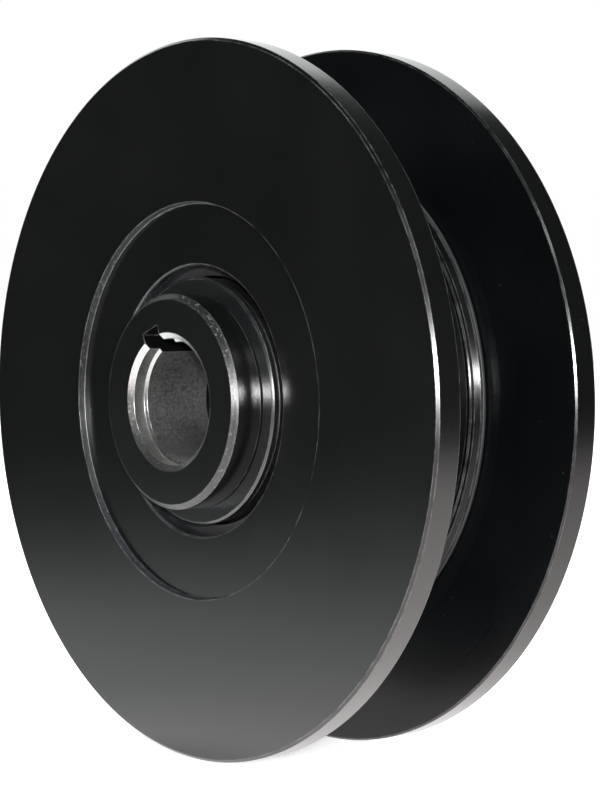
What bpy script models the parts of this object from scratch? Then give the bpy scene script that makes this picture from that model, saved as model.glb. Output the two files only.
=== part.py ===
"""Spring-loaded wide V-belt pulley, drawn closed.

The shaft axis is the Y axis and the front faces -Y. The fixed half is the keyed hub sleeve with
the rear disc. The moving half is the front disc with its barrel, which slides along the sleeve and is
pulled towards the rear disc by the spring inside the barrel. Stations are measured in millimetres
from the outer face of the front disc, positive towards the rear.
"""

import math

import bmesh
import bpy
from mathutils import Matrix, Vector

for old in list(bpy.data.objects):
    bpy.data.objects.remove(old, do_unlink=True)

# ---------------------------------------------------------------- driving dimensions (mm, degrees)
DISC_R = 84.0            # outer radius of both discs
RIM_W = 6.75             # width of a disc at its rim
RIM_CH_OUT = 0.85        # chamfer on the outward side of a rim
RIM_CH_IN = 0.4          # chamfer on the groove side
GROOVE_MOUTH = 34.25     # gap between the two rims
TAPER_DEG = 7.0          # slope of each groove face
RECESS_R = 46.3          # turned recess in the front face
RECESS_D = 1.7
EYE_R = 31.7             # hole in the front disc, clear of the hub
TRAVEL = 7.0             # stroke of the moving half

HUB_FACE = -6.6          # front end of the sleeve
HUB_END = 54.4           # rear end of the sleeve
HUB_HEAD_R = 25.0
HUB_HEAD_END = 12.6
HUB_CH = 1.2
JOURNAL_R = 21.5         # the bush slides on this
SEAT_R = 20.5            # the rear disc sits on this
THREAD_R = 19.4
BORE_R = 14.0
MOUTH_R = 14.75          # counterbore at the front of the bore
MOUTH_END = -2.7
RELIEF_R = 15.2          # undercut between the two bore lands
RELIEF_FROM, RELIEF_TO = 15.2, 42.0
KEY_W = 6.0              # shaft keyway
KEY_TOP = 18.0
KEY_DEG = 22.9           # keyway, anticlockwise from the top as seen from the front

RING_R = 28.9            # retaining ring on the hub head
BARREL_R = 57.5
BARREL_IN = 52.0
FLANGE_R = 58.6          # end plate rim
BUMPER_R = 59.2
BOSS_R = 63.0            # flat middle of the rear disc's groove face
BOSS_FRONT = 38.5
PLATE_BACK = 38.15       # rear face of the end plate, closed
SPRING_R = 34.4          # mean coil radius
WIRE_R = 1.9
COILS = 3.0

GAP = 0.3                # clearance between neighbouring solids
MID = (HUB_FACE + HUB_END) / 2
MM = 0.001
WIDE, MEDIUM, SMALL = 60, 40, 28   # facets round the discs and barrel, the hub parts and the washers

FIX_FRONT = RIM_W + GROOVE_MOUTH   # groove-side edge of the rear disc's rim
FIX_BACK = FIX_FRONT + RIM_W
SLOPE = math.tan(math.radians(TAPER_DEG))


def y_of(station):
    return (station - MID) * MM


def front_cone(r):
    """Station of the front disc's groove face at radius r."""
    return RIM_W + (DISC_R - RIM_CH_IN - r) * SLOPE


def rear_cone(r):
    """Station of the rear disc's groove face at radius r."""
    return FIX_FRONT - (DISC_R - RIM_CH_IN - r) * SLOPE


DISC_BACK = front_cone(57.0)       # flat middle of the front disc's groove face


# ---------------------------------------------------------------- materials
def finish(name, colour, metallic, roughness):
    mat = bpy.data.materials.new(name)
    mat.use_nodes = True
    shader = mat.node_tree.nodes["Principled BSDF"]
    shader.inputs["Base Color"].default_value = (*colour, 1)
    shader.inputs["Metallic"].default_value = metallic
    shader.inputs["Roughness"].default_value = roughness
    return mat


BLACK = (0.016, 0.018, 0.019)
STEEL = (0.55, 0.55, 0.53)
RUBBER = (0.012, 0.012, 0.013)
BRONZE = (0.55, 0.36, 0.16)
ZINC = (0.62, 0.63, 0.65)

# ---------------------------------------------------------------- frame of empties
base = bpy.data.objects.new("fixed_half_axis", None)
bpy.context.scene.collection.objects.link(base)
slider = bpy.data.objects.new("moving_half_axis", None)
bpy.context.scene.collection.objects.link(slider)


# ---------------------------------------------------------------- builders
def link(name, mesh, parent, mat, location=(0, 0, 0), rotation=(0, 0, 0)):
    mesh.shade_smooth()
    mesh.set_sharp_from_angle(angle=math.radians(25))
    obj = bpy.data.objects.new(name, mesh)
    obj.data.materials.clear()
    obj.data.materials.append(mat)
    obj.location = location
    obj.rotation_euler = rotation
    obj.parent = parent
    bpy.context.scene.collection.objects.link(obj)
    return obj


def tidy(bm):
    bmesh.ops.remove_doubles(bm, verts=bm.verts, dist=1e-7)
    bmesh.ops.dissolve_degenerate(bm, edges=bm.edges, dist=1e-8)
    bmesh.ops.recalc_face_normals(bm, faces=bm.faces)


def turned_mesh(name, profile, station, steps):
    """A closed profile of (radius, station) corners turned about the Y axis."""
    bm = bmesh.new()
    ring = [bm.verts.new((r * MM, (s - station) * MM, 0)) for r, s in profile]
    edges = [bm.edges.new((ring[i - 1], ring[i])) for i in range(len(ring))]
    axial = [e for e in edges if all(abs(v.co.x) < 1e-9 for v in e.verts)]
    for e in axial:
        bm.edges.remove(e)
    bmesh.ops.spin(bm, geom=bm.verts[:] + bm.edges[:], cent=(0, 0, 0), axis=(0, 1, 0),
                   dvec=(0, 0, 0), angle=2 * math.pi, steps=steps, use_merge=True,
                   use_duplicate=False)
    tidy(bm)
    mesh = bpy.data.meshes.new(name)
    bm.to_mesh(mesh)
    bm.free()
    return mesh


def turned(name, profile, steps, parent, mat, at=None):
    station = profile[0][1] if at is None else at
    return link(name, turned_mesh(name, profile, station, steps), parent, mat,
                (0, y_of(station), 0))


def block_mesh(name, size):
    bm = bmesh.new()
    bmesh.ops.create_cube(bm, size=1.0)
    bmesh.ops.scale(bm, verts=bm.verts, vec=[v * MM for v in size])
    bmesh.ops.recalc_face_normals(bm, faces=bm.faces)
    mesh = bpy.data.meshes.new(name)
    bm.to_mesh(mesh)
    bm.free()
    return mesh


def bevelled(obj, width, segments=1):
    mod = obj.modifiers.new("edge", "BEVEL")
    mod.width = width * MM
    mod.segments = segments
    mod.limit_method = "ANGLE"
    mod.angle_limit = math.radians(40)
    return obj


def helper(name, mesh, parent, location, rotation=(0, 0, 0)):
    """A cutter: hidden from renders and drawn as a wire."""
    obj = bpy.data.objects.new(name, mesh)
    obj.location = location
    obj.rotation_euler = rotation
    obj.parent = parent
    obj.hide_render = True
    obj.display_type = "WIRE"
    bpy.context.scene.collection.objects.link(obj)
    return obj


def cut(obj, cutter):
    mod = obj.modifiers.new(cutter.name, "BOOLEAN")
    mod.operation = "DIFFERENCE"
    mod.solver = "EXACT"
    mod.object = cutter
    return obj


def polar(radius, deg, station):
    """A point at this radius, turned clockwise from the top as seen from the front."""
    a = math.radians(deg)
    return (radius * math.sin(a) * MM, y_of(station), radius * math.cos(a) * MM)


def slot_cutter(name, parent, width, r_from, r_to, s_from, s_to, deg):
    """A box that cuts a radial slot at the angle deg."""
    mesh = block_mesh(name, (width, s_to - s_from, r_to - r_from))
    return helper(name, mesh, parent, polar((r_from + r_to) / 2, deg, (s_from + s_to) / 2),
                  (0, math.radians(deg), 0))


def block(name, parent, mat, width, r_from, r_to, s_from, s_to, deg, edge):
    mesh = block_mesh(name, (width, s_to - s_from, r_to - r_from))
    obj = link(name, mesh, parent, mat, polar((r_from + r_to) / 2, deg, (s_from + s_to) / 2),
               (0, math.radians(deg), 0))
    return bevelled(obj, edge)


def drill(name, parent, radius, s_from, s_to, r_at, deg, sides=10):
    """A round cutter along the axis direction."""
    bm = bmesh.new()
    bmesh.ops.create_cone(bm, cap_ends=True, segments=sides, radius1=radius * MM,
                          radius2=radius * MM, depth=(s_to - s_from) * MM,
                          matrix=Matrix.Rotation(math.pi / 2, 4, "X"))
    mesh = bpy.data.meshes.new(name)
    bm.to_mesh(mesh)
    bm.free()
    return helper(name, mesh, parent, polar(r_at, deg, (s_from + s_to) / 2))


def screw_mesh(name, head_r, head_h, shank_r, length, socket_af, countersunk):
    """A hex-socket screw. The top of its head is at y=0 and its shank runs towards -y.

    Twelve facets round, so that the socket's six corners and six middles fall on them."""
    flat = socket_af / 2
    depth = head_h * 0.62
    rings = [("tip", -length), (shank_r, -length)]
    if countersunk:
        rings += [(shank_r, -head_h), (head_r, 0.0)]
    else:
        rings += [(shank_r, -head_h), (head_r, -head_h), (head_r, 0.0)]
    rings += [("hex", 0.0), ("hex", -depth), ("tip", -depth - 0.3)]
    bm = bmesh.new()
    previous = None
    for r, y in rings:
        if r == "tip":
            loop = [bm.verts.new((0, y * MM, 0))]
        else:
            loop = []
            for i in range(12):
                a = i * math.pi / 6
                radius = flat / (math.cos(math.pi / 6) if i % 2 == 0 else 1.0) if r == "hex" else r
                loop.append(bm.verts.new((radius * MM * math.sin(a), y * MM, radius * MM * math.cos(a))))
        if previous:
            n = max(len(previous), len(loop))
            for i in range(n):
                j = (i + 1) % n
                quad = [previous[i % len(previous)], previous[j % len(previous)],
                        loop[j % len(loop)], loop[i % len(loop)]]
                bm.faces.new(list(dict.fromkeys(quad)))
        previous = loop
    tidy(bm)
    mesh = bpy.data.meshes.new(name)
    bm.to_mesh(mesh)
    bm.free()
    return mesh


# ---------------------------------------------------------------- fixed half: hub sleeve
hub = turned("hub_sleeve", [
    (MOUTH_R + 1.32, HUB_FACE), (HUB_HEAD_R - HUB_CH, HUB_FACE), (HUB_HEAD_R, HUB_FACE + HUB_CH),
    (HUB_HEAD_R, 1.0), (HUB_HEAD_R - 1.2, 1.0), (HUB_HEAD_R - 1.2, 3.4), (HUB_HEAD_R, 3.4),
    (HUB_HEAD_R, HUB_HEAD_END), (JOURNAL_R, HUB_HEAD_END), (JOURNAL_R, BOSS_FRONT - 0.2), (SEAT_R, BOSS_FRONT - 0.2),
    (SEAT_R, FIX_BACK + 0.2), (THREAD_R, FIX_BACK + 0.2), (THREAD_R, HUB_END - 0.8),
    (THREAD_R - 0.8, HUB_END), (BORE_R + 0.9, HUB_END), (BORE_R, HUB_END - 0.9),
    (BORE_R, RELIEF_TO), (RELIEF_R, RELIEF_TO - 1.2), (RELIEF_R, RELIEF_FROM + 0.6),
    (BORE_R, RELIEF_FROM), (BORE_R, MOUTH_END + 0.4), (MOUTH_R, MOUTH_END),
    (MOUTH_R, HUB_FACE + 1.0),
], MEDIUM, base, finish("hub_black_oxide", BLACK, 0.6, 0.35))
cut(hub, slot_cutter("cut_shaft_keyway", base, KEY_W, 9.0, KEY_TOP, HUB_FACE - 2, HUB_END + 2, -KEY_DEG))
cut(hub, slot_cutter("cut_collar_key_seat", base, 6.0 + 2 * GAP, 22.4, 28.0, 4.7, 10.3, 157.0))
cut(hub, slot_cutter("cut_disc_key_seat", base, 6.0 + 2 * GAP, 18.2, 24.0, 40.0, FIX_BACK + 2, 157.0))

# snap ring in the groove of the hub head, open at the left
ring = turned("front_retaining_ring", [
    (24.2, 1.3), (RING_R - 0.45, 1.3), (RING_R, 1.75), (RING_R, 3.1), (24.2, 3.1),
], MEDIUM, base, finish("ring_spring_steel", (0.03, 0.032, 0.034), 0.8, 0.32))
cut(ring, slot_cutter("cut_ring_gap", base, 5.0, 20.0, 33.0, 0.0, 5.0, 265.0))

# guide collar: takes the spring's front end and guides the barrel
collar = turned("guide_collar", [
    (25.3, 3.5), (28.6, 3.5), (28.6, 10.3), (39.4, 10.3), (39.4, 14.6), (50.0, 14.6),
    (50.0, 18.3), (48.9, 18.3), (48.9, 20.3), (50.0, 20.3), (50.0, 21.4), (44.0, 21.4),
    (39.9, 17.0), (39.9, 12.9), (25.3, 12.9),
], MEDIUM, base, finish("collar_steel", (0.10, 0.10, 0.10), 0.9, 0.4))
cut(collar, slot_cutter("cut_collar_keyway", base, 6.0 + 2 * GAP, 22.0, 27.3, 2.0, 14.0, 157.0))
turned("guide_wear_ring", [
    (49.2, 18.6), (51.6, 18.6), (51.6, 20.0), (49.2, 20.0),
], MEDIUM, base, finish("wear_ring_ptfe", (0.35, 0.30, 0.22), 0.0, 0.55))
block("collar_key", base, finish("key_steel", STEEL, 1.0, 0.4), 6.0, 22.7, 27.0, 5.0, 10.0, 157.0, 0.3)
key_mat = finish("drive_key_steel", STEEL, 1.0, 0.38)
for i in range(3):
    deg = 37.0 + 120.0 * i
    cut(collar, slot_cutter(f"cut_drive_key_{i + 1}", base, 8.0 + 2 * GAP, 46.4, 56.0, 14.0, 18.0, deg))
    block(f"drive_key_{i + 1}", base, key_mat, 8.0, 46.8, 54.0, 14.9, 17.6, deg, 0.3)

# ---------------------------------------------------------------- fixed half: rear disc and its lock
rear = turned("fixed_disc", [
    (SEAT_R + GAP, BOSS_FRONT), (BOSS_R, BOSS_FRONT), (BOSS_R + 0.4, rear_cone(BOSS_R + 0.4)),
    (DISC_R - RIM_CH_IN, FIX_FRONT),
    (DISC_R, FIX_FRONT + RIM_CH_IN), (DISC_R, FIX_BACK - RIM_CH_OUT),
    (DISC_R - RIM_CH_OUT, FIX_BACK), (RECESS_R, FIX_BACK), (RECESS_R, FIX_BACK - RECESS_D),
    (34.0, FIX_BACK - RECESS_D), (34.0, FIX_BACK), (SEAT_R + GAP, FIX_BACK),
], WIDE, base, finish("rear_disc_black", BLACK, 0.6, 0.3))
cut(rear, slot_cutter("cut_disc_keyway", base, 6.0 + 2 * GAP, 18.0, 23.3, 36.0, FIX_BACK + 2, 157.0))
for i in range(3):
    cut(rear, drill(f"cut_puller_hole_{i + 1}", base, 3.2, FIX_BACK - 6.2, FIX_BACK + 2, 40.2, 60.0 + 120.0 * i))
block("disc_key", base, finish("disc_key_steel", STEEL, 1.0, 0.4), 6.0, 18.5, 23.0, 40.3, FIX_BACK - 0.3, 157.0, 0.3)

washer = turned("tab_washer", [
    (THREAD_R + GAP, 48.1), (27.0, 48.1), (27.0, 49.2), (THREAD_R + GAP, 49.2),
], MEDIUM, base, finish("washer_zinc", ZINC, 1.0, 0.35))
for i in range(8):
    cut(washer, slot_cutter(f"cut_washer_tab_{i + 1}", base, 3.2, 24.8, 29.0, 47.0, 50.0, 22.5 + 45.0 * i))
nut = turned("lock_nut", [
    (THREAD_R + GAP, 49.5), (27.4, 49.5), (28.0, 50.1), (28.0, 53.2), (27.0, 54.1),
    (THREAD_R + GAP, 54.1),
], MEDIUM, base, finish("nut_black", (0.02, 0.02, 0.022), 0.7, 0.38))
for i in range(4):
    cut(nut, slot_cutter(f"cut_nut_slot_{i + 1}", base, 6.0, 25.6, 31.0, 48.0, 56.0, 45.0 + 90.0 * i))

# ---------------------------------------------------------------- moving half: front disc
front = turned("moving_disc", [
    (DISC_R - RIM_CH_OUT, 0.0), (DISC_R, RIM_CH_OUT), (DISC_R, RIM_W - RIM_CH_IN),
    (DISC_R - RIM_CH_IN, RIM_W), (57.0, DISC_BACK), (EYE_R, DISC_BACK),
    (EYE_R, 9.4), (EYE_R + 2.2, 9.4), (EYE_R + 2.2, 6.2), (EYE_R, 6.2), (EYE_R, RECESS_D + 0.3),
    (EYE_R + 0.3, RECESS_D), (RECESS_R, RECESS_D), (RECESS_R, 0.0),
], WIDE, slider, finish("front_disc_black", BLACK, 0.6, 0.3))

# wiper in the eye of the front disc, running over the neck of the collar
turned("front_wiper_seal", [
    (29.2, 6.5), (EYE_R + 1.8, 6.5), (EYE_R + 1.8, 9.1), (30.8, 9.1),
], MEDIUM, slider, finish("wiper_rubber", RUBBER, 0.0, 0.7))

# ---------------------------------------------------------------- moving half: barrel
barrel_front = DISC_BACK + GAP
barrel = turned("barrel_housing", [
    (40.0, barrel_front), (BARREL_R - 0.5, barrel_front), (BARREL_R, barrel_front + 0.5),
    (BARREL_R, 33.85), (BARREL_R - 0.3, 34.15), (BARREL_IN, 34.15), (BARREL_IN, 14.3), (40.0, 14.3),
], WIDE, slider, finish("barrel_black", BLACK, 0.6, 0.28))
for i in range(3):
    cut(barrel, slot_cutter(f"cut_barrel_spline_{i + 1}", slider, 8.0 + 2 * GAP, 51.0, 54.4, 14.4, 36.0, 37.0 + 120.0 * i))

flange_screw = screw_mesh("flange_screw", 4.2, 2.4, 2.45, 9.6, 4.0, False)
screw_mat = finish("screw_black", (0.03, 0.03, 0.032), 0.8, 0.4)
for i in range(6):
    deg = 7.0 + 60.0 * i
    cut(barrel, drill(f"cut_flange_head_{i + 1}", slider, 4.6, 11.3, 15.0, 45.6, deg))
    cut(barrel, drill(f"cut_flange_hole_{i + 1}", slider, 2.8, 9.0, 12.0, 45.6, deg))
    cut(front, drill(f"cut_disc_tapping_{i + 1}", slider, 2.8, 4.1, 11.0, 45.6, deg))
    link(f"barrel_screw_{i + 1}", flange_screw, slider, screw_mat, polar(45.6, deg, 14.1))

# ---------------------------------------------------------------- moving half: end plate
plate = turned("end_plate", [
    (25.0, 20.6), (29.0, 20.6), (29.0, 33.4), (BARREL_IN - GAP, 33.4), (BARREL_IN - GAP, 34.45),
    (FLANGE_R - 0.3, 34.45), (FLANGE_R, 34.75), (FLANGE_R, 37.0), (57.6, 37.0),
    (57.6, PLATE_BACK), (21.9, PLATE_BACK), (21.9, 36.2), (25.0, 36.2),
], WIDE, slider, finish("end_plate_black", BLACK, 0.6, 0.3))
bush = turned("slide_bush", [
    (JOURNAL_R + GAP, 20.6), (24.7, 20.6), (24.7, 35.9), (JOURNAL_R + GAP, 35.9),
], SMALL, slider, finish("bush_bronze", BRONZE, 1.0, 0.35))
turned("bumper_ring", [
    (57.9, 37.3), (BUMPER_R, 37.3), (BUMPER_R, PLATE_BACK), (57.9, PLATE_BACK),
], WIDE, slider, finish("bumper_rubber", RUBBER, 0.0, 0.6))

plate_screw = screw_mesh("plate_screw", 2.3, 1.5, 1.3, 7.6, 1.8, True)
for i in range(6):
    deg = 37.0 - 20.0 + 60.0 * i
    cut(plate, drill(f"cut_plate_head_{i + 1}", slider, 2.65, 35.9, 39.0, 54.7, deg))
    cut(plate, drill(f"cut_plate_hole_{i + 1}", slider, 1.65, 34.0, 36.6, 54.7, deg))
    cut(barrel, drill(f"cut_barrel_tapping_{i + 1}", slider, 1.65, 28.4, 36.0, 54.7, deg))
    link(f"end_plate_screw_{i + 1}", plate_screw, slider, screw_mat, polar(54.7, deg, 37.7))

# ---------------------------------------------------------------- spring and its two seats
turned("front_spring_washer", [
    (31.0, 13.2), (37.8, 13.2), (37.8, 14.0), (31.0, 14.0),
], SMALL, base, finish("washer_steel", STEEL, 1.0, 0.4))
turned("rear_spring_washer", [
    (31.0, 32.3), (37.8, 32.3), (37.8, 33.1), (31.0, 33.1),
], SMALL, slider, finish("washer_steel_rear", STEEL, 1.0, 0.4))


def coil_spring(name, front_station, rear_station, parent, mat):
    """Wire swept along a helix whose end turns close up and lie flat."""
    start, end = front_station + WIRE_R, rear_station - WIRE_R
    turns, per_turn, sides = COILS, 18, 6
    n = int(turns * per_turn)
    bm = bmesh.new()
    loops = []
    for i in range(n + 1):
        t = i / n
        a = 2 * math.pi * turns * t
        centre = Vector((SPRING_R * math.sin(a), start + (end - start) * t - MID, SPRING_R * math.cos(a)))
        radial = Vector((math.sin(a), 0, math.cos(a)))
        tangent = Vector((SPRING_R * 2 * math.pi * turns * math.cos(a), end - start,
                          -SPRING_R * 2 * math.pi * turns * math.sin(a))).normalized()
        side = tangent.cross(radial).normalized()
        loops.append([bm.verts.new((centre + WIRE_R * (math.cos(b) * radial + math.sin(b) * side)) * MM)
                      for b in (2 * math.pi * k / sides for k in range(sides))])
    for a, b in zip(loops, loops[1:]):
        for k in range(sides):
            m = (k + 1) % sides
            bm.faces.new((a[k], a[m], b[m], b[k]))
    bm.faces.new(loops[0][::-1])
    bm.faces.new(loops[-1])
    bmesh.ops.recalc_face_normals(bm, faces=bm.faces)
    mesh = bpy.data.meshes.new(name)
    bm.to_mesh(mesh)
    bm.free()
    return link(name, mesh, parent, mat)


coil_spring("compression_spring", 14.3, 32.0, base, finish("spring_steel", (0.25, 0.24, 0.23), 0.9, 0.35))
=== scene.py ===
import math

import bmesh
import bpy
import numpy as np
from mathutils import Matrix, Vector


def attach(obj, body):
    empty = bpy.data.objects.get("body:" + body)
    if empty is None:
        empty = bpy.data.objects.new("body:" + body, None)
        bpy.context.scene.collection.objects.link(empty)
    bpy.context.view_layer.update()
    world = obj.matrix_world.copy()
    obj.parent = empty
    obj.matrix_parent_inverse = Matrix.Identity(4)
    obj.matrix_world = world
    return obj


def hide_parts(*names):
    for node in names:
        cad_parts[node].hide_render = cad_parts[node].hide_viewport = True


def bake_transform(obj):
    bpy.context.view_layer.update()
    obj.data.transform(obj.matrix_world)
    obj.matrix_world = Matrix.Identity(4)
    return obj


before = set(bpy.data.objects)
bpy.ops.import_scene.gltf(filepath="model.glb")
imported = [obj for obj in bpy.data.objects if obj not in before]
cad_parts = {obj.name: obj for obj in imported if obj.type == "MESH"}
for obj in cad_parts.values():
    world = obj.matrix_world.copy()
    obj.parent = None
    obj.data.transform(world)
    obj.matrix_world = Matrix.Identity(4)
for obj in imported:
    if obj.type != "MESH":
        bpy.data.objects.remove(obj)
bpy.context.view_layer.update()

# ------------------------------------------------------------------ the model's own dimensions (mm)
MM = 0.001
HUB_FACE, HUB_END = -6.6, 54.4
MID = (HUB_FACE + HUB_END) / 2
DISC_R, RIM_W, MOUTH = 84.0, 6.75, 34.25
FIX_FRONT = RIM_W + MOUTH
FIX_BACK = FIX_FRONT + RIM_W
SLOPE = math.tan(math.radians(7.0))
BARREL_R, BARREL_IN, FLANGE_R, BUMPER_R = 57.5, 52.0, 58.6, 59.2
BOSS_R, BOSS_FRONT, PLATE_BACK = 63.0, 38.5, 38.15
RECESS_R, RECESS_D, EYE_R = 46.3, 1.7, 31.7
BORE_R, MOUTH_R = 14.0, 14.75
RING_R = 28.9
KEY_W, KEY_TOP, KEY_DEG = 6.0, 18.0, 22.9


def front_cone(r):
    return RIM_W + (DISC_R - 0.4 - r) * SLOPE


def rear_cone(r):
    return FIX_FRONT - (DISC_R - 0.4 - r) * SLOPE


DISC_BACK = front_cone(57.0)


def y_of(station):
    return (station - MID) * MM


def polar(radius, deg, station):
    a = math.radians(deg)
    return Vector((radius * math.sin(a) * MM, y_of(station), radius * math.cos(a) * MM))


# ------------------------------------------------------------------ mesh builders
def rounded(corners, steps=4):
    """A closed profile of (r, station, fillet radius) with each corner turned into a small arc."""
    out = []
    n = len(corners)
    for i, (r, s, f) in enumerate(corners):
        p = Vector((r, s))
        a = Vector(corners[i - 1][:2]) - p
        b = Vector(corners[(i + 1) % n][:2]) - p
        la, lb = a.length, b.length
        if f <= 0 or la < 1e-6 or lb < 1e-6:
            out.append((r, s))
            continue
        a, b = a / la, b / lb
        angle = a.angle(b)
        if angle > math.pi - 0.03:
            out.append((r, s))
            continue
        reach = min(f / math.tan(angle / 2), 0.45 * la, 0.45 * lb)
        radius = reach * math.tan(angle / 2)
        mid = (a + b).normalized()
        centre = p + mid * (radius / math.sin(angle / 2))
        start, end = p + a * reach - centre, p + b * reach - centre
        sweep = start.angle_signed(end)
        for k in range(steps + 1):
            t = -sweep * k / steps
            c, w = math.cos(t), math.sin(t)
            out.append((centre.x + start.x * c - start.y * w, centre.y + start.x * w + start.y * c))
    return out


def spun(name, profile, segments=192, closed=True):
    """The profile turned about the shaft axis, with its vertices in the row frame."""
    pts = np.array(profile, float)
    m = len(pts)
    angles = np.arange(segments) * 2 * math.pi / segments
    co = np.empty((segments, m, 3))
    co[:, :, 0] = np.sin(angles)[:, None] * pts[:, 0] * MM
    co[:, :, 1] = (pts[:, 1] - MID) * MM
    co[:, :, 2] = np.cos(angles)[:, None] * pts[:, 0] * MM
    faces = []
    for i in range(segments):
        j = (i + 1) % segments
        for k in range(m if closed else m - 1):
            l = (k + 1) % m
            faces.append((i * m + k, i * m + l, j * m + l, j * m + k))
    mesh = bpy.data.meshes.new(name)
    mesh.from_pydata(co.reshape(-1, 3).tolist(), [], faces)
    bm = bmesh.new()
    bm.from_mesh(mesh)
    bmesh.ops.recalc_face_normals(bm, faces=bm.faces)
    if bm.calc_volume(signed=True) < 0:
        bmesh.ops.reverse_faces(bm, faces=bm.faces)
    bm.to_mesh(mesh)
    bm.free()
    return mesh


def make(name, mesh, sharp=35.0):
    obj = bpy.data.objects.new(name, mesh)
    bpy.context.scene.collection.objects.link(obj)
    shade(obj, sharp)
    return obj


def shade(obj, sharp=35.0):
    """Smooth shading that keeps wide flat faces flat: the normals lean to the larger faces."""
    obj.data.shade_smooth()
    obj.data.set_sharp_from_angle(angle=math.radians(sharp))
    mod = obj.modifiers.new("even", "WEIGHTED_NORMAL")
    mod.mode, mod.keep_sharp, mod.weight = "FACE_AREA", True, 100
    bpy.context.view_layer.update()
    graph = bpy.context.evaluated_depsgraph_get()
    mesh = bpy.data.meshes.new_from_object(obj.evaluated_get(graph))
    obj.modifiers.clear()
    old = obj.data
    obj.data = mesh
    bpy.data.meshes.remove(old)


def apply_cuts(obj, cutters, sharp=35.0):
    """Takes the cutters away from obj and removes them."""
    for c in cutters:
        mod = obj.modifiers.new("cut", "BOOLEAN")
        mod.operation, mod.solver, mod.object = "DIFFERENCE", "EXACT", c
    bpy.context.view_layer.update()
    graph = bpy.context.evaluated_depsgraph_get()
    mesh = bpy.data.meshes.new_from_object(obj.evaluated_get(graph))
    obj.modifiers.clear()
    old = obj.data
    obj.data = mesh
    bpy.data.meshes.remove(old)
    for c in cutters:
        bpy.data.objects.remove(c)
    shade(obj, sharp)
    return obj


def box_cutter(width, r_from, r_to, s_from, s_to, deg, edge=0.0):
    bm = bmesh.new()
    bmesh.ops.create_cube(bm, size=1.0)
    bmesh.ops.scale(bm, verts=bm.verts, vec=(width * MM, (s_to - s_from) * MM, (r_to - r_from) * MM))
    if edge:
        along = [e for e in bm.edges if abs(e.verts[0].co.y - e.verts[1].co.y) > 1e-9]
        bmesh.ops.bevel(bm, geom=along, offset=edge * MM, segments=3, affect="EDGES", profile=0.5)
    turn = Matrix.Rotation(math.radians(deg), 4, "Y")
    bmesh.ops.transform(bm, verts=bm.verts,
                        matrix=Matrix.Translation(polar((r_from + r_to) / 2, deg, (s_from + s_to) / 2)) @ turn)
    bmesh.ops.recalc_face_normals(bm, faces=bm.faces)
    mesh = bpy.data.meshes.new("cutter")
    bm.to_mesh(mesh)
    bm.free()
    obj = bpy.data.objects.new("cutter", mesh)
    bpy.context.scene.collection.objects.link(obj)
    return obj


def hole_cutter(rings, r_at, deg, sides=40):
    """A round cutter parallel to the axis: rings are (radius, station), first and last on its own axis side."""
    bm = bmesh.new()
    centre = polar(r_at, deg, 0)
    loops = []
    for radius, s in rings:
        y = y_of(s)
        loops.append([bm.verts.new((centre.x + radius * MM * math.sin(2 * math.pi * i / sides), y,
                                    centre.z + radius * MM * math.cos(2 * math.pi * i / sides)))
                      for i in range(sides)])
    for a, b in zip(loops, loops[1:]):
        for i in range(sides):
            j = (i + 1) % sides
            bm.faces.new((a[i], a[j], b[j], b[i]))
    bm.faces.new(loops[0])
    bm.faces.new(loops[-1][::-1])
    bmesh.ops.recalc_face_normals(bm, faces=bm.faces)
    mesh = bpy.data.meshes.new("hole")
    bm.to_mesh(mesh)
    bm.free()
    obj = bpy.data.objects.new("hole", mesh)
    bpy.context.scene.collection.objects.link(obj)
    return obj


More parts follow.
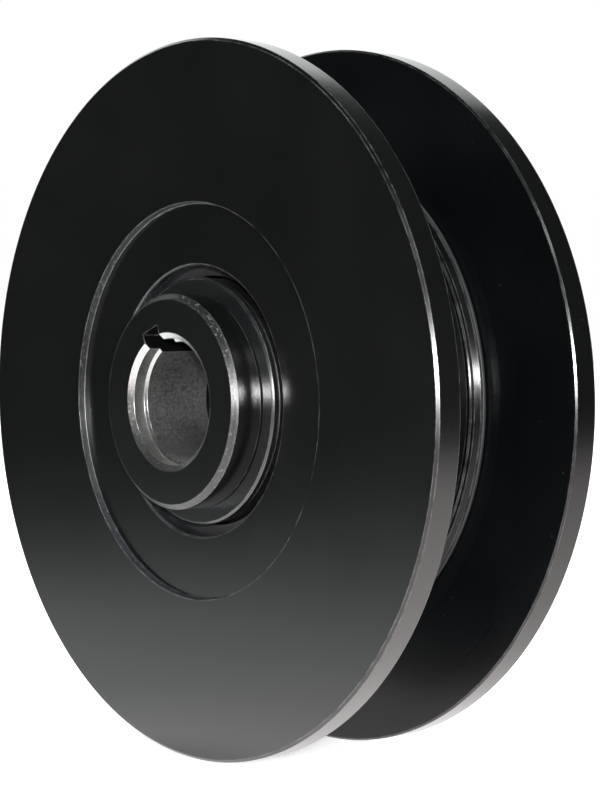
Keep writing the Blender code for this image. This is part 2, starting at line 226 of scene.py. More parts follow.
# ------------------------------------------------------------------ materials
class Nodes:
    """Short hand for building one material's node tree."""

    def __init__(self, name):
        self.mat = bpy.data.materials.new(name)
        self.mat.use_nodes = True
        self.tree = self.mat.node_tree
        self.shader = self.tree.nodes["Principled BSDF"]
        self.coord = self.tree.nodes.new("ShaderNodeTexCoord")

    def node(self, kind, inputs=None, **props):
        n = self.tree.nodes.new(kind)
        for k, v in props.items():
            setattr(n, k, v)
        for k, v in (inputs or {}).items():
            if isinstance(v, bpy.types.NodeSocket):
                self.tree.links.new(v, n.inputs[k])
            else:
                n.inputs[k].default_value = v
        return n

    def math(self, op, a, b=None, clamp=False):
        n = self.tree.nodes.new("ShaderNodeMath")
        n.operation, n.use_clamp = op, clamp
        for i, v in enumerate((a, b)):
            if v is None:
                continue
            if isinstance(v, bpy.types.NodeSocket):
                self.tree.links.new(v, n.inputs[i])
            else:
                n.inputs[i].default_value = v
        return n.outputs[0]

    def noise(self, scale, detail=3.0, rough=0.55, vector=None, dims="3D", w=None):
        n = self.node("ShaderNodeTexNoise", {"Scale": scale, "Detail": detail, "Roughness": rough},
                      noise_dimensions=dims)
        if dims == "1D":
            self.tree.links.new(w, n.inputs["W"])
        else:
            self.tree.links.new(vector or self.coord.outputs["Object"], n.inputs["Vector"])
        return n.outputs["Fac"]

    def ramp(self, value, stops):
        n = self.tree.nodes.new("ShaderNodeValToRGB")
        ramp = n.color_ramp
        while len(ramp.elements) < len(stops):
            ramp.elements.new(0.5)
        for e, (pos, col) in zip(ramp.elements, stops):
            e.position = pos
            e.color = (*col, 1) if len(col) == 3 else col
        self.tree.links.new(value, n.inputs["Fac"])
        return n.outputs["Color"]

    def span(self, value, low, high):
        """value, from 0 to 1, spread between low and high."""
        n = self.node("ShaderNodeMapRange", {"Value": value, "From Min": 0.25, "From Max": 0.75,
                                             "To Min": low, "To Max": high})
        return n.outputs["Result"]

    def radius(self):
        """Distance from the shaft axis, in metres."""
        parts = self.node("ShaderNodeSeparateXYZ", {"Vector": self.coord.outputs["Object"]})
        x2 = self.math("MULTIPLY", parts.outputs["X"], parts.outputs["X"])
        z2 = self.math("MULTIPLY", parts.outputs["Z"], parts.outputs["Z"])
        return self.math("SQRT", self.math("ADD", x2, z2)), parts.outputs["Y"]

    def wear(self, width, low=0.35, high=0.62, scale=260.0):
        """1 along worn edges, 0 elsewhere, broken up by noise."""
        bevel = self.node("ShaderNodeBevel", {"Radius": width * MM}, samples=4)
        plain_ = self.node("ShaderNodeNewGeometry")
        same = self.node("ShaderNodeVectorMath", {0: bevel.outputs["Normal"], 1: plain_.outputs["Normal"]},
                         operation="DOT_PRODUCT")
        edge = self.node("ShaderNodeMapRange", {"Value": same.outputs["Value"], "From Min": 0.995, "From Max": 0.90,
                                                "To Min": 0.0, "To Max": 1.0}).outputs["Result"]
        worn = self.node("ShaderNodeMapRange", {"Value": self.noise(scale, 3.0, 0.65), "From Min": low,
                                                "From Max": high, "To Min": 0.0, "To Max": 1.0}).outputs["Result"]
        return self.math("MULTIPLY", edge, worn, clamp=True)

    def blend(self, fac, a, b):
        n = self.tree.nodes.new("ShaderNodeMix")
        n.data_type = "RGBA"
        self.tree.links.new(fac, n.inputs["Factor"])
        for name, v in (("A", a), ("B", b)):
            socket = [i for i in n.inputs if i.name == name and i.type == "RGBA"][0]
            if isinstance(v, bpy.types.NodeSocket):
                self.tree.links.new(v, socket)
            else:
                socket.default_value = (*v, 1)
        return [o for o in n.outputs if o.type == "RGBA"][0]

    def bump(self, height, strength, distance, normal=None):
        inputs = {"Strength": strength, "Distance": distance, "Height": height}
        if normal is not None:
            inputs["Normal"] = normal
        return self.node("ShaderNodeBump", inputs).outputs["Normal"]

    def set(self, **values):
        for k, v in values.items():
            socket = self.shader.inputs[k.replace("_", " ")]
            if isinstance(v, bpy.types.NodeSocket):
                self.tree.links.new(v, socket)
            else:
                socket.default_value = v


def blackened(name, dark=(0.0009, 0.0011, 0.0010), light=(0.0022, 0.0025, 0.0023), rough=(0.17, 0.23),
              ior=1.65, turned=0.10, speckle=0.12, lines=9000.0, grain=1500.0, wear=0.42,
              worn=(0.10, 0.103, 0.103), dust=0.022, specks_from=0.76, specks_scale=1500.0):
    """Blackened turned steel: fine rings from the lathe, faint mottling, small pits and lighter worn edges."""
    m = Nodes(name)
    r, y = m.radius()
    cloud = m.noise(34.0, 4.0, 0.6)
    fine = m.noise(grain, 2.0, 0.6)
    edge = m.wear(wear)
    specks = m.node("ShaderNodeMapRange", {"Value": m.noise(specks_scale, 1.0, 0.5), "From Min": specks_from, "From Max": specks_from + 0.06,
                                           "To Min": 0.0, "To Max": 1.0}).outputs["Result"]
    ground = m.blend(specks, m.ramp(cloud, [(0.3, dark), (0.7, light)]), (dust, dust, dust * 0.96))
    m.set(Base_Color=m.blend(edge, ground, worn))
    ring = m.noise(lines, 2.0, 0.7, dims="1D", w=m.math("ADD", r, m.math("MULTIPLY", y, 0.83)))
    wide = m.noise(lines / 9.0, 1.0, 0.5, dims="1D", w=m.math("ADD", r, m.math("MULTIPLY", y, 0.83)))
    smooth = m.span(m.math("ADD", m.math("MULTIPLY", cloud, 0.6), m.math("MULTIPLY", wide, 0.4)), *rough)
    m.set(Roughness=m.math("ADD", smooth, m.math("MULTIPLY", edge, 0.10)))
    normal = m.bump(ring, turned, 0.00002)
    normal = m.bump(fine, speckle, 0.00003, normal)
    m.set(Normal=normal, IOR=ior, Metallic=0.0)
    return m.mat


def mixed_noise_metal(name, dark, light, rough, scale=900.0, turned=0.2, speckle=0.3, lines=6000.0, wear=0.2, cloud=60.0):
    """Bare or plated metal with ground texture."""
    m = Nodes(name)
    r, y = m.radius()
    cloud = m.noise(cloud, 5.0, 0.65)
    fine = m.noise(scale, 3.0, 0.7)
    both = m.math("ADD", m.math("MULTIPLY", cloud, 0.45), m.math("MULTIPLY", fine, 0.55))
    edge = m.wear(wear)
    bright = tuple(min(0.9, c * 1.35 + 0.05) for c in light)
    m.set(Base_Color=m.blend(edge, m.ramp(both, [(0.33, dark), (0.66, light)]), bright))
    ring = m.noise(lines, 2.0, 0.7, dims="1D", w=m.math("ADD", r, m.math("MULTIPLY", y, 0.83)))
    m.set(Roughness=m.span(fine, *rough))
    normal = m.bump(ring, turned, 0.00002)
    normal = m.bump(fine, speckle, 0.00003, normal)
    m.set(Normal=normal, Metallic=1.0)
    return m.mat


def soft_black(name, colour, rough, ior=1.5, grain=1800.0, strength=0.35):
    """Rubber or plastic: fine grain and a little dust colour."""
    m = Nodes(name)
    fine = m.noise(grain, 3.0, 0.6)
    cloud = m.noise(50.0, 3.0, 0.6)
    light = tuple(c * 1.8 + 0.004 for c in colour)
    m.set(Base_Color=m.ramp(cloud, [(0.3, colour), (0.75, light)]), Roughness=m.span(fine, *rough),
          Normal=m.bump(fine, strength, 0.00004), IOR=ior)
    return m.mat


disc_black = blackened("disc_black")
# The rear disc's groove face and its seat get a darker, bluer copy of the disc black: painted shade of the groove.
rear_black_painted_shade = blackened("rear_disc_black", dark=(0.0005, 0.0007, 0.0009), light=(0.0010, 0.0014, 0.0017), rough=(0.26, 0.34), ior=1.38)
rim_black = blackened("rear_rim_black", ior=1.5)
barrel_black = blackened("barrel_black", rough=(0.22, 0.30), turned=0.12, ior=1.3)
plate_black = blackened("plate_black", rough=(0.11, 0.16), turned=0.08, ior=1.33)
seat_black_painted_shade = blackened("seat_black_painted_shade", dark=(0.0005, 0.0007, 0.0009), light=(0.0010, 0.0014, 0.0017), rough=(0.32, 0.40), ior=1.4)
hub_black = blackened("hub_black", rough=(0.19, 0.27), speckle=0.45, turned=0.15, ior=1.75, grain=2600.0)
chamfer_black = blackened("chamfer_black", dark=(0.002, 0.0025, 0.0028), light=(0.006, 0.007, 0.0075), rough=(0.22, 0.42),
                          speckle=1.0, turned=0.2, ior=1.75, grain=2200.0, dust=0.09, specks_from=0.62, specks_scale=2200.0)
relief_black = soft_black("relief_black", (0.0012, 0.0012, 0.0012), (0.7, 0.85), ior=1.2)
# For the eye wall and the recess step. The speckle and dust are real, but the lighter bluish grey is painted reflected
# light.
cut_black_painted_sheen = blackened("cut_black_painted_sheen", dark=(0.003, 0.004, 0.0048), light=(0.014, 0.017, 0.020), rough=(0.22, 0.42),
                      speckle=1.0, turned=0.4, ior=1.9, grain=1900.0, dust=0.075, specks_from=0.60, specks_scale=2000.0)
ring_black = blackened("ring_black", dark=(0.003, 0.0034, 0.0036), light=(0.006, 0.0065, 0.0068), rough=(0.17, 0.25), speckle=0.3, ior=1.8)
nut_black = blackened("nut_black", dark=(0.004, 0.0045, 0.0046), light=(0.008, 0.0085, 0.0085), rough=(0.28, 0.38), speckle=0.35)
screw_black = blackened("screw_black", dark=(0.006, 0.006, 0.0062), light=(0.012, 0.012, 0.0125), rough=(0.3, 0.42), speckle=0.3)
bore_steel = mixed_noise_metal("bore_steel", (0.28, 0.29, 0.285), (0.62, 0.63, 0.62), (0.32, 0.46), scale=1700.0, turned=0.05, speckle=0.2, cloud=110.0)
edge_steel = mixed_noise_metal("edge_steel", (0.62, 0.62, 0.60), (0.82, 0.82, 0.80), (0.18, 0.3), scale=1400.0, turned=0.15, speckle=0.2)
key_steel = mixed_noise_metal("key_steel", (0.42, 0.42, 0.41), (0.62, 0.62, 0.60), (0.25, 0.4))
collar_steel = mixed_noise_metal("collar_steel", (0.05, 0.05, 0.05), (0.10, 0.10, 0.10), (0.35, 0.5))
zinc = mixed_noise_metal("zinc_plate", (0.48, 0.49, 0.51), (0.70, 0.71, 0.73), (0.25, 0.4))
bronze = mixed_noise_metal("sintered_bronze", (0.36, 0.22, 0.09), (0.58, 0.38, 0.18), (0.3, 0.5), speckle=0.6)
spring_steel = mixed_noise_metal("spring_steel", (0.12, 0.115, 0.11), (0.26, 0.25, 0.24), (0.3, 0.45), turned=0.0)
rubber = soft_black("nitrile_rubber", (0.010, 0.010, 0.011), (0.45, 0.62))
ptfe = soft_black("filled_ptfe", (0.22, 0.18, 0.12), (0.4, 0.6), strength=0.2)


def dress(obj, *mats):
    obj.data.materials.clear()
    for m in mats:
        obj.data.materials.append(m)
    return obj


def piece(obj, body, node, slot, *mats):
    dress(obj, *mats)
    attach(obj, body)
    if node:
        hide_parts(node)
    return obj


# ------------------------------------------------------------------ front disc
front = make("front_disc_shell", spun("front_disc_shell", rounded([
    (DISC_R - 0.62, 0.0, 0.08), (DISC_R, 0.62, 0.08), (DISC_R, RIM_W - 0.4, 0.1), (DISC_R - 0.4, RIM_W, 0.1),
    (57.0, DISC_BACK, 0), (EYE_R, DISC_BACK, 0.2), (EYE_R, 9.4, 0.05),
    (EYE_R + 2.2, 9.4, 0), (EYE_R + 2.2, 6.2, 0), (EYE_R, 6.2, 0.05), (EYE_R, RECESS_D + 0.35, 0.1),
    (EYE_R + 0.35, RECESS_D, 0.1), (RECESS_R - 0.25, RECESS_D, 0.25), (RECESS_R, 0.0, 0.07),
]), 288))
drills = []
for i in range(6):
    drills.append(hole_cutter([(0.05, 4.1), (2.75, 4.9), (2.75, 10.5)], 45.6, 7.0 + 60.0 * i, 24))
apply_cuts(front, drills)
piece(front, "moving_half", "moving_disc", "front_disc", disc_black, cut_black_painted_sheen)
# The eye wall and the recess step take the lighter material, whose bluish grey is painted reflected light.
for p in front.data.polygons:
    c, n = p.center, p.normal
    r, s = math.hypot(c.x, c.z) / MM, c.y / MM + MID
    if (r < EYE_R + 0.5 and s < 9.6) or (abs(n.y) < 0.8 and RECESS_R - 0.6 < r < RECESS_R + 0.1 and s < RECESS_D + 0.1):
        p.material_index = 1

# ------------------------------------------------------------------ rear disc
rear = make("rear_disc_shell", spun("rear_disc_shell", rounded([
    (20.8, BOSS_FRONT, 0.2), (BOSS_R, BOSS_FRONT, 0), (BOSS_R + 0.4, rear_cone(BOSS_R + 0.4), 0),
    (DISC_R - 0.4, FIX_FRONT, 0.1),
    (DISC_R, FIX_FRONT + 0.4, 0.1), (DISC_R, FIX_BACK - 0.85, 0.12), (DISC_R - 0.85, FIX_BACK, 0.12),
    (RECESS_R, FIX_BACK, 0.15), (RECESS_R - 0.25, FIX_BACK - RECESS_D, 0.25), (34.25, FIX_BACK - RECESS_D, 0.25),
    (34.0, FIX_BACK, 0.2), (20.8, FIX_BACK, 0.3),
]), 288))
cutters = [box_cutter(6.6, 18.0, 23.3, 36.0, FIX_BACK + 2, 157.0)]
for i in range(3):
    thread = [(0.05, FIX_BACK - 6.2), (2.9, FIX_BACK - 5.6)]
    for k in range(6):
        s = FIX_BACK - 5.5 + 0.55 * k
        thread += [(2.9, s), (3.25, s + 0.28)]
    thread += [(3.25, FIX_BACK - RECESS_D - 0.35), (3.8, FIX_BACK - RECESS_D + 0.02), (3.8, FIX_BACK + 2)]
    cutters.append(hole_cutter(thread, 40.2, 60.0 + 120.0 * i, 32))
apply_cuts(rear, cutters)
piece(rear, "fixed_half", "fixed_disc", "rear_disc", rear_black_painted_shade, rim_black, seat_black_painted_shade)
# The groove face and the seat take the darker copy, painted shade of the groove; the rim keeps the plain black.
for p in rear.data.polygons:
    c = p.center
    if math.hypot(c.x, c.z) / MM > DISC_R - 0.9 or c.y / MM + MID > FIX_FRONT + 2.0:
        p.material_index = 1
    elif math.hypot(c.x, c.z) / MM < BOSS_R:
        p.material_index = 2

# ------------------------------------------------------------------ hub sleeve
hub = make("hub_sleeve_body", spun("hub_sleeve_body", rounded([
    (MOUTH_R + 1.32, HUB_FACE, 0.05), (25.0 - 1.2, HUB_FACE, 0.15), (25.0, HUB_FACE + 1.2, 0.15),
    (25.0, 1.0, 0.06), (23.8, 1.0, 0.05), (23.8, 3.4, 0.05), (25.0, 3.4, 0.1), (25.0, 12.6, 0.3),
    (21.5, 12.6, 0.4), (21.5, BOSS_FRONT - 0.2, 0.2), (20.5, BOSS_FRONT - 0.2, 0.1), (20.5, FIX_BACK + 0.2, 0.1),
    (19.4, FIX_BACK + 0.2, 0.1), (19.4, HUB_END - 0.8, 0.1), (18.6, HUB_END, 0.1), (14.9, HUB_END, 0.1),
    (BORE_R, HUB_END - 0.9, 0.1), (BORE_R, 42.0, 0.1), (15.2, 40.8, 0.1), (15.2, 15.8, 0.1),
    (BORE_R, 15.2, 0.06), (BORE_R, -2.3, 0.08), (MOUTH_R, -2.7, 0.08), (MOUTH_R, HUB_FACE + 1.0, 0.08),
]), 256))
apply_cuts(hub, [
    box_cutter(KEY_W, 9.0, KEY_TOP, HUB_FACE - 2, HUB_END + 2, -KEY_DEG, 0.25),
    box_cutter(6.6, 22.4, 28.0, 4.7, 10.3, 157.0),
    box_cutter(6.6, 18.2, 24.0, 40.0, FIX_BACK + 2, 157.0),
])
piece(hub, "fixed_half", "hub_sleeve", "hub", hub_black, bore_steel, edge_steel, chamfer_black, relief_black)
for p in hub.data.polygons:
    c = p.center
    r = math.hypot(c.x, c.z) / MM
    s = c.y / MM + MID
    n = p.normal
    along = (-c.x * math.sin(math.radians(KEY_DEG)) + c.z * math.cos(math.radians(KEY_DEG))) / MM
    across = abs(c.x * math.cos(math.radians(KEY_DEG)) + c.z * math.sin(math.radians(KEY_DEG))) / MM
    in_key = across < KEY_W / 2 + 0.05 and 13.6 < along < KEY_TOP + 0.1 and abs(n.y) < 0.5
    if in_key and HUB_FACE < s < HUB_END:
        p.material_index = 0
    elif r < MOUTH_R + 1.38 and s < HUB_FACE + 1.05 and s > HUB_FACE + 0.02:
        p.material_index = 2
    elif r < MOUTH_R + 0.2 and s < -2.2 and s > HUB_FACE + 0.02:
        p.material_index = 1 if s < -2.75 else 2
    elif 15.0 < r < 15.4 and s > 15.0:
        p.material_index = 4
    elif r < 15.4 and s > HUB_FACE + 0.5:
        p.material_index = 1
    elif r > 23.7 and s < HUB_FACE + 1.25 and abs(n.y) < 0.95:
        p.material_index = 3
    elif r < KEY_TOP + 0.1 and abs(n.y) < 0.5 and s < HUB_END and s > HUB_FACE:
        p.material_index = 1

# ------------------------------------------------------------------ retaining ring and collar
ring = make("front_snap_ring", spun("front_snap_ring", rounded([
    (24.2, 1.3, 0.1), (RING_R - 0.45, 1.3, 0.15), (RING_R, 1.75, 0.12), (RING_R, 3.1, 0.12), (24.2, 3.1, 0.1),
]), 224))
apply_cuts(ring, [box_cutter(5.0, 20.0, 33.0, 0.0, 5.0, 265.0)])
piece(ring, "fixed_half", "front_retaining_ring", "ring", ring_black)

collar = make("guide_collar_body", spun("guide_collar_body", rounded([
    (25.3, 3.5, 0.2), (28.6, 3.5, 0.15), (28.6, 10.3, 0.3), (39.4, 10.3, 0.3), (39.4, 14.6, 0.3),
    (50.0, 14.6, 0.4), (50.0, 18.3, 0.1), (48.9, 18.3, 0.1), (48.9, 20.3, 0.1), (50.0, 20.3, 0.1),
    (50.0, 21.4, 0.3), (44.0, 21.4, 0.6), (39.9, 17.0, 0.6), (39.9, 12.9, 0.4), (25.3, 12.9, 0.2),
], 3), 192))
apply_cuts(collar, [box_cutter(6.6, 22.0, 27.3, 2.0, 14.0, 157.0)] + [
    box_cutter(8.6, 46.4, 56.0, 14.0, 18.0, 37.0 + 120.0 * i) for i in range(3)])
piece(collar, "fixed_half", "guide_collar", "collar", collar_steel)

# ------------------------------------------------------------------ wiper in the eye
wiper = make("eye_wiper", spun("eye_wiper", rounded([
    (29.2, 6.5, 0.1), (33.5, 6.5, 0.3), (33.5, 9.1, 0.3), (31.2, 9.1, 0.2), (30.6, 7.7, 0.3), (29.6, 7.2, 0.2),
], 3), 160))
piece(wiper, "moving_half", "front_wiper_seal", "rubber", rubber)

# ------------------------------------------------------------------ barrel, end plate, bumper
b0 = DISC_BACK + 0.3
barrel = make("barrel_shell", spun("barrel_shell", rounded([
    (40.0, b0, 0.2), (BARREL_R - 0.5, b0, 0.1), (BARREL_R, b0 + 0.5, 0.2), (BARREL_R, 33.85, 0.1),
    (BARREL_R - 0.3, 34.15, 0.1), (BARREL_IN, 34.15, 0.2), (BARREL_IN, 14.3, 0.5), (40.0, 14.3, 0.3),
]), 256))
cutters = [box_cutter(8.6, 51.0, 54.4, 14.4, 36.0, 37.0 + 120.0 * i, 0.3) for i in range(3)]
for i in range(6):
    cutters.append(hole_cutter([(2.8, 9.0), (2.8, 11.3), (4.6, 11.3), (4.6, 15.0)], 45.6, 7.0 + 60.0 * i, 28))
    cutters.append(hole_cutter([(1.65, 28.4), (1.65, 36.0)], 54.7, 17.0 + 60.0 * i, 20))
apply_cuts(barrel, cutters)
piece(barrel, "moving_half", "barrel_housing", "barrel", barrel_black)

plate = make("end_plate_body", spun("end_plate_body", rounded([
    (25.0, 20.6, 0.2), (29.0, 20.6, 0.4), (29.0, 33.4, 0.8), (BARREL_IN - 0.3, 33.4, 0.2),
    (BARREL_IN - 0.3, 34.45, 0.1), (FLANGE_R - 0.9, 34.45, 0.1), (FLANGE_R - 0.6, 34.75, 0.1),
    (FLANGE_R - 0.6, 35.6, 0.1), (FLANGE_R + 0.5, 36.67, 0.12), (FLANGE_R + 0.5, 37.0, 0.1), (57.6, 37.0, 0.1), (57.6, PLATE_BACK, 0.15), (21.9, PLATE_BACK, 0.2),
    (21.9, 36.2, 0.1), (25.0, 36.2, 0.1),
]), 256))
cutters = []
for i in range(6):
    cutters.append(hole_cutter([(1.6, 34.0), (1.6, 36.4), (2.65, 37.9), (2.65, 39.0)], 54.7, 17.0 + 60.0 * i, 24))
apply_cuts(plate, cutters)
piece(plate, "moving_half", "end_plate", "end_plate", plate_black)

bumper = make("bumper_band", spun("bumper_band", rounded([
    (57.9, 37.3, 0.15), (BUMPER_R, 37.3, 0.22), (BUMPER_R, PLATE_BACK, 0.25), (57.9, PLATE_BACK, 0.15),
]), 256))
piece(bumper, "moving_half", "bumper_ring", "rubber", rubber)

# ------------------------------------------------------------------ rear lock
washer = make("tabbed_washer", spun("tabbed_washer", rounded([
    (19.7, 48.1, 0.1), (27.0, 48.1, 0.12), (27.0, 49.2, 0.12), (19.7, 49.2, 0.1),
], 3), 160))
apply_cuts(washer, [box_cutter(3.2, 24.8, 29.0, 47.0, 50.0, 22.5 + 45.0 * i, 0.0) for i in range(8)])
piece(washer, "fixed_half", "tab_washer", "tab_washer", zinc)
nut = make("slotted_lock_nut", spun("slotted_lock_nut", rounded([
    (19.7, 49.5, 0.2), (27.4, 49.5, 0.1), (28.0, 50.1, 0.1), (28.0, 53.2, 0.1), (27.0, 54.1, 0.1), (19.7, 54.1, 0.4),
]), 192))
apply_cuts(nut, [box_cutter(6.0, 25.6, 31.0, 48.0, 56.0, 45.0 + 90.0 * i, 0.0) for i in range(4)])
piece(nut, "fixed_half", "lock_nut", "nut", nut_black)


# ------------------------------------------------------------------ spring: attached to neither body, it spans both
def coil(name, mean_r, wire_r, turns, s_from, s_to, per_turn=64, sides=16):
    n = int(turns * per_turn)
    start, end = s_from + wire_r, s_to - wire_r
    verts, faces = [], []
    for i in range(n + 1):
        t = i / n
        a = 2 * math.pi * turns * t
        centre = Vector((mean_r * math.sin(a), start + (end - start) * t - MID, mean_r * math.cos(a)))
        radial = Vector((math.sin(a), 0, math.cos(a)))
        tangent = Vector((mean_r * 2 * math.pi * turns * math.cos(a), end - start,
                          -mean_r * 2 * math.pi * turns * math.sin(a))).normalized()
        side = tangent.cross(radial).normalized()
        for k in range(sides):
            b = 2 * math.pi * k / sides
            verts.append((centre + wire_r * (math.cos(b) * radial + math.sin(b) * side)) * MM)
    for i in range(n):
        for k in range(sides):
            m = (k + 1) % sides
            faces.append((i * sides + k, i * sides + m, (i + 1) * sides + m, (i + 1) * sides + k))
    faces.append(tuple(range(sides - 1, -1, -1)))
    faces.append(tuple(n * sides + k for k in range(sides)))
    mesh = bpy.data.meshes.new(name)
    mesh.from_pydata([tuple(v) for v in verts], [], faces)
    bm = bmesh.new()
    bm.from_mesh(mesh)
    bmesh.ops.recalc_face_normals(bm, faces=bm.faces)
    if bm.calc_volume(signed=True) < 0:
        bmesh.ops.reverse_faces(bm, faces=bm.faces)
    bm.to_mesh(mesh)
    bm.free()
    return mesh


spring = make("coil_spring", coil("coil_spring", 34.4, 1.9, 3.0, 14.3, 32.0))
dress(spring, spring_steel)
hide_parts("compression_spring")
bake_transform(spring)

# ------------------------------------------------------------------ carried-over solids get their finish
for name, mat in {"guide_wear_ring": ptfe, "collar_key": key_steel, "disc_key": key_steel,
                  "drive_key_1": key_steel, "drive_key_2": key_steel, "drive_key_3": key_steel,
                  "front_spring_washer": key_steel, "rear_spring_washer": key_steel,
                  "slide_bush": bronze}.items():
    dress(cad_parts[name], mat)
for i in range(1, 7):
    dress(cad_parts[f"barrel_screw_{i}"], screw_black)
    dress(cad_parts[f"end_plate_screw_{i}"], screw_black)

# ------------------------------------------------------------------ floor
def plain(name, colour, rough):
    m = Nodes(name)
    soft = m.noise(3.0, 2.0, 0.5)
    low = tuple(c * 0.985 for c in colour)
    m.set(Base_Color=m.ramp(soft, [(0.3, low), (0.7, colour)]), Roughness=rough)
    return m.mat


def sheet(name, verts, faces, mat, **seen):
    mesh = bpy.data.meshes.new(name)
    mesh.from_pydata(verts, [], faces)
    obj = bpy.data.objects.new(name, mesh)
    bpy.context.scene.collection.objects.link(obj)
    dress(obj, mat)
    for k, v in seen.items():
        setattr(obj, "visible_" + k, v)
    return obj


def disc_sheet(radius, z, sides=96):
    ring_ = [(radius * math.cos(2 * math.pi * i / sides), radius * math.sin(2 * math.pi * i / sides), z)
             for i in range(sides)]
    return ring_, [tuple(range(sides))]


FLOOR_Z = -DISC_R * MM - 0.0002
floor_mat = plain("floor_pale", (0.90, 0.90, 0.90), 0.9)
floor_shader = floor_mat.node_tree.nodes["Principled BSDF"]
floor_shader.inputs["Emission Color"].default_value = (1, 1, 1, 1)
floor_shader.inputs["Emission Strength"].default_value = 0.62
sheet("floor", *disc_sheet(3.0, FLOOR_Z), floor_mat, glossy=False)


def glow(name, strength, stops, left=(1, 1, 1), far_side=(1, 1, 1)):
    """A pale card. stops are (distance in metres, share of the strength); the tint goes from -X to +X."""
    m = Nodes(name)
    m.tree.nodes.remove(m.shader)
    dist = m.node("ShaderNodeVectorMath", {0: m.coord.outputs["Object"]}, operation="LENGTH")
    share = m.ramp(dist.outputs["Value"], [(d_, (v_, v_, v_)) for d_, v_ in stops])
    parts = m.node("ShaderNodeSeparateXYZ", {"Vector": m.coord.outputs["Object"]})
    across = m.node("ShaderNodeMapRange", {"Value": parts.outputs["X"], "From Min": -0.10, "From Max": 0.10,
                                           "To Min": 0.0, "To Max": 1.0}).outputs["Result"]
    tint = m.blend(across, left, far_side)
    colour = m.node("ShaderNodeVectorMath", {0: share, 1: tint}, operation="MULTIPLY")
    emit = m.node("ShaderNodeEmission", {"Color": colour.outputs["Vector"], "Strength": strength})
    m.tree.links.new(emit.outputs[0], m.tree.nodes["Material Output"].inputs["Surface"])
    return m.mat


sheet("floor_card", *disc_sheet(1.4, FLOOR_Z - 0.0005), glow("floor_card", 2.8, [(0.070, 0.05), (0.097, 0.88), (0.13, 0.74), (0.20, 0.62), (0.27, 0.52), (0.36, 0.33), (0.5, 0.12), (0.7, 0.05), (1.0, 0.02)],
          (0.605, 0.628, 0.635), (1.0, 0.935, 0.935)),
      camera=False, diffuse=False, shadow=False, transmission=False)

# ------------------------------------------------------------------ camera
AZ, EL = math.radians(50.288), math.radians(2.66)
right = Vector((math.cos(AZ), math.sin(AZ), 0))
ahead = Vector((-math.sin(AZ) * math.cos(EL), math.cos(AZ) * math.cos(EL), -math.sin(EL)))
down = ahead.cross(right)
offset = (-0.3036, 0.0032, 6.1978)
face_centre = Vector((0, y_of(0.0), 0))
eye = face_centre - (right * offset[0] + down * offset[1] + ahead * offset[2]) * DISC_R * MM
cam_data = bpy.data.cameras.new("camera")
cam_data.sensor_fit = "AUTO"
cam_data.sensor_width = 36.0
cam_data.lens = 2233.2 / 800.0 * 36.0
cam = bpy.data.objects.new("camera", cam_data)
turn = Matrix((right, -down, -ahead)).transposed().to_4x4()
cam.matrix_world = Matrix.Translation(eye) @ turn
bpy.context.scene.collection.objects.link(cam)
bpy.context.scene.camera = cam

# ------------------------------------------------------------------ light
scene = bpy.context.scene
scene.view_settings.view_transform = "Standard"
scene.view_settings.look = "None"

world = bpy.data.worlds.new("studio")
scene.world = world
world.use_nodes = True
tree = world.node_tree
tree.nodes.clear()
out = tree.nodes.new("ShaderNodeOutputWorld")
mix = tree.nodes.new("ShaderNodeMixShader")
path = tree.nodes.new("ShaderNodeLightPath")
dark = tree.nodes.new("ShaderNodeBackground")
pale = tree.nodes.new("ShaderNodeBackground")
dark.inputs["Color"].default_value = (0.94, 1.0, 0.97, 1)
dark.inputs["Strength"].default_value = 0.06
pale.inputs["Color"].default_value = (1, 1, 1, 1)
pale.inputs["Strength"].default_value = 1.0
tree.links.new(path.outputs["Is Camera Ray"], mix.inputs[0])
tree.links.new(dark.outputs[0], mix.inputs[1])
tree.links.new(pale.outputs[0], mix.inputs[2])
tree.links.new(mix.outputs[0], out.inputs["Surface"])


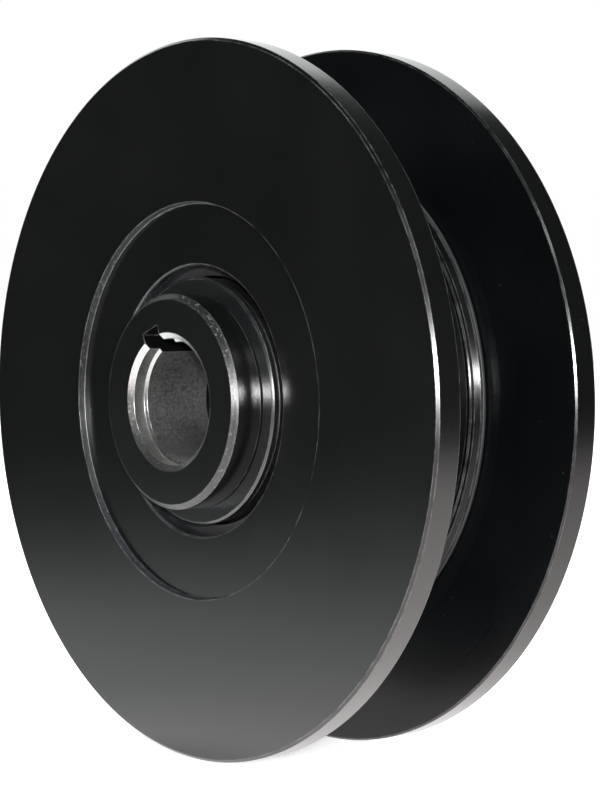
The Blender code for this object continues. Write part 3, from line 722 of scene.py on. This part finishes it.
def area(name, direction, distance, size, power, colour=(1, 1, 1), glossy=True, target=(0, 0, 0)):
    """A soft panel facing the target. direction is (right, up, towards the camera)."""
    flat = Vector((-ahead.x, -ahead.y, 0)).normalized()
    d = (right * direction[0] + Vector((0, 0, 1)) * direction[1] + flat * direction[2]).normalized()
    data = bpy.data.lights.new(name, "AREA")
    data.shape = "RECTANGLE"
    data.size, data.size_y = size
    data.energy = power
    data.color = colour
    obj = bpy.data.objects.new(name, data)
    obj.location = Vector(target) + d * distance
    obj.rotation_euler = (-d).to_track_quat("-Z", "Y").to_euler()
    obj.visible_glossy = glossy
    bpy.context.scene.collection.objects.link(obj)
    return obj


def lit(radiance, w, h):
    """The power that gives a panel of this size the radiance."""
    return radiance * math.pi * w * h


def toward(deg_right, deg_up):
    a, e = math.radians(deg_right), math.radians(deg_up)
    return (math.sin(a) * math.cos(e), math.sin(e), math.cos(a) * math.cos(e))


area("panel_camera", toward(-6, 8.0), 1.1, (0.34, 0.12), lit(12.0, 0.34, 0.12))
area("flash_near", toward(0.5, 8.0), 1.1, (0.12, 0.08), lit(700.0, 0.12, 0.08))
area("panel_high", toward(5, 40.0), 1.2, (0.36, 0.24), lit(13.0, 0.36, 0.24))

# the pale backdrop behind the object, as the gloss sees it
flat_ahead = Vector((ahead.x, ahead.y, 0)).normalized()


def behind(deg_right, deg_up, dist):
    a, e = math.radians(deg_right), math.radians(deg_up)
    v = flat_ahead * math.cos(a) * math.cos(e) + right * math.sin(a) * math.cos(e) + Vector((0, 0, math.sin(e)))
    return tuple(v * dist)


rows = [[behind(az_, el_, 1.0) for az_ in range(-40, 33, 6)] for el_ in range(0, 45, 4)]
card = [p_ for row in rows for p_ in row]
w_ = len(rows[0])
quads = [(i * w_ + k, i * w_ + k + 1, (i + 1) * w_ + k + 1, (i + 1) * w_ + k)
         for i in range(len(rows) - 1) for k in range(w_ - 1)]
sheet("backdrop_card", card, quads, glow("backdrop_card", 1.6, [(0.0, 1.0), (1.0, 1.0)], (0.95, 1.0, 0.99), (0.95, 1.0, 0.99)),
      camera=False, diffuse=False, shadow=False, transmission=False)

sun = bpy.data.lights.new("overhead", "SUN")
sun.energy = 3.8
sun.angle = math.radians(60)
over = bpy.data.objects.new("overhead", sun)
over.rotation_euler = (math.radians(12), math.radians(-10), 0)
over.visible_glossy = False
bpy.context.scene.collection.objects.link(over)
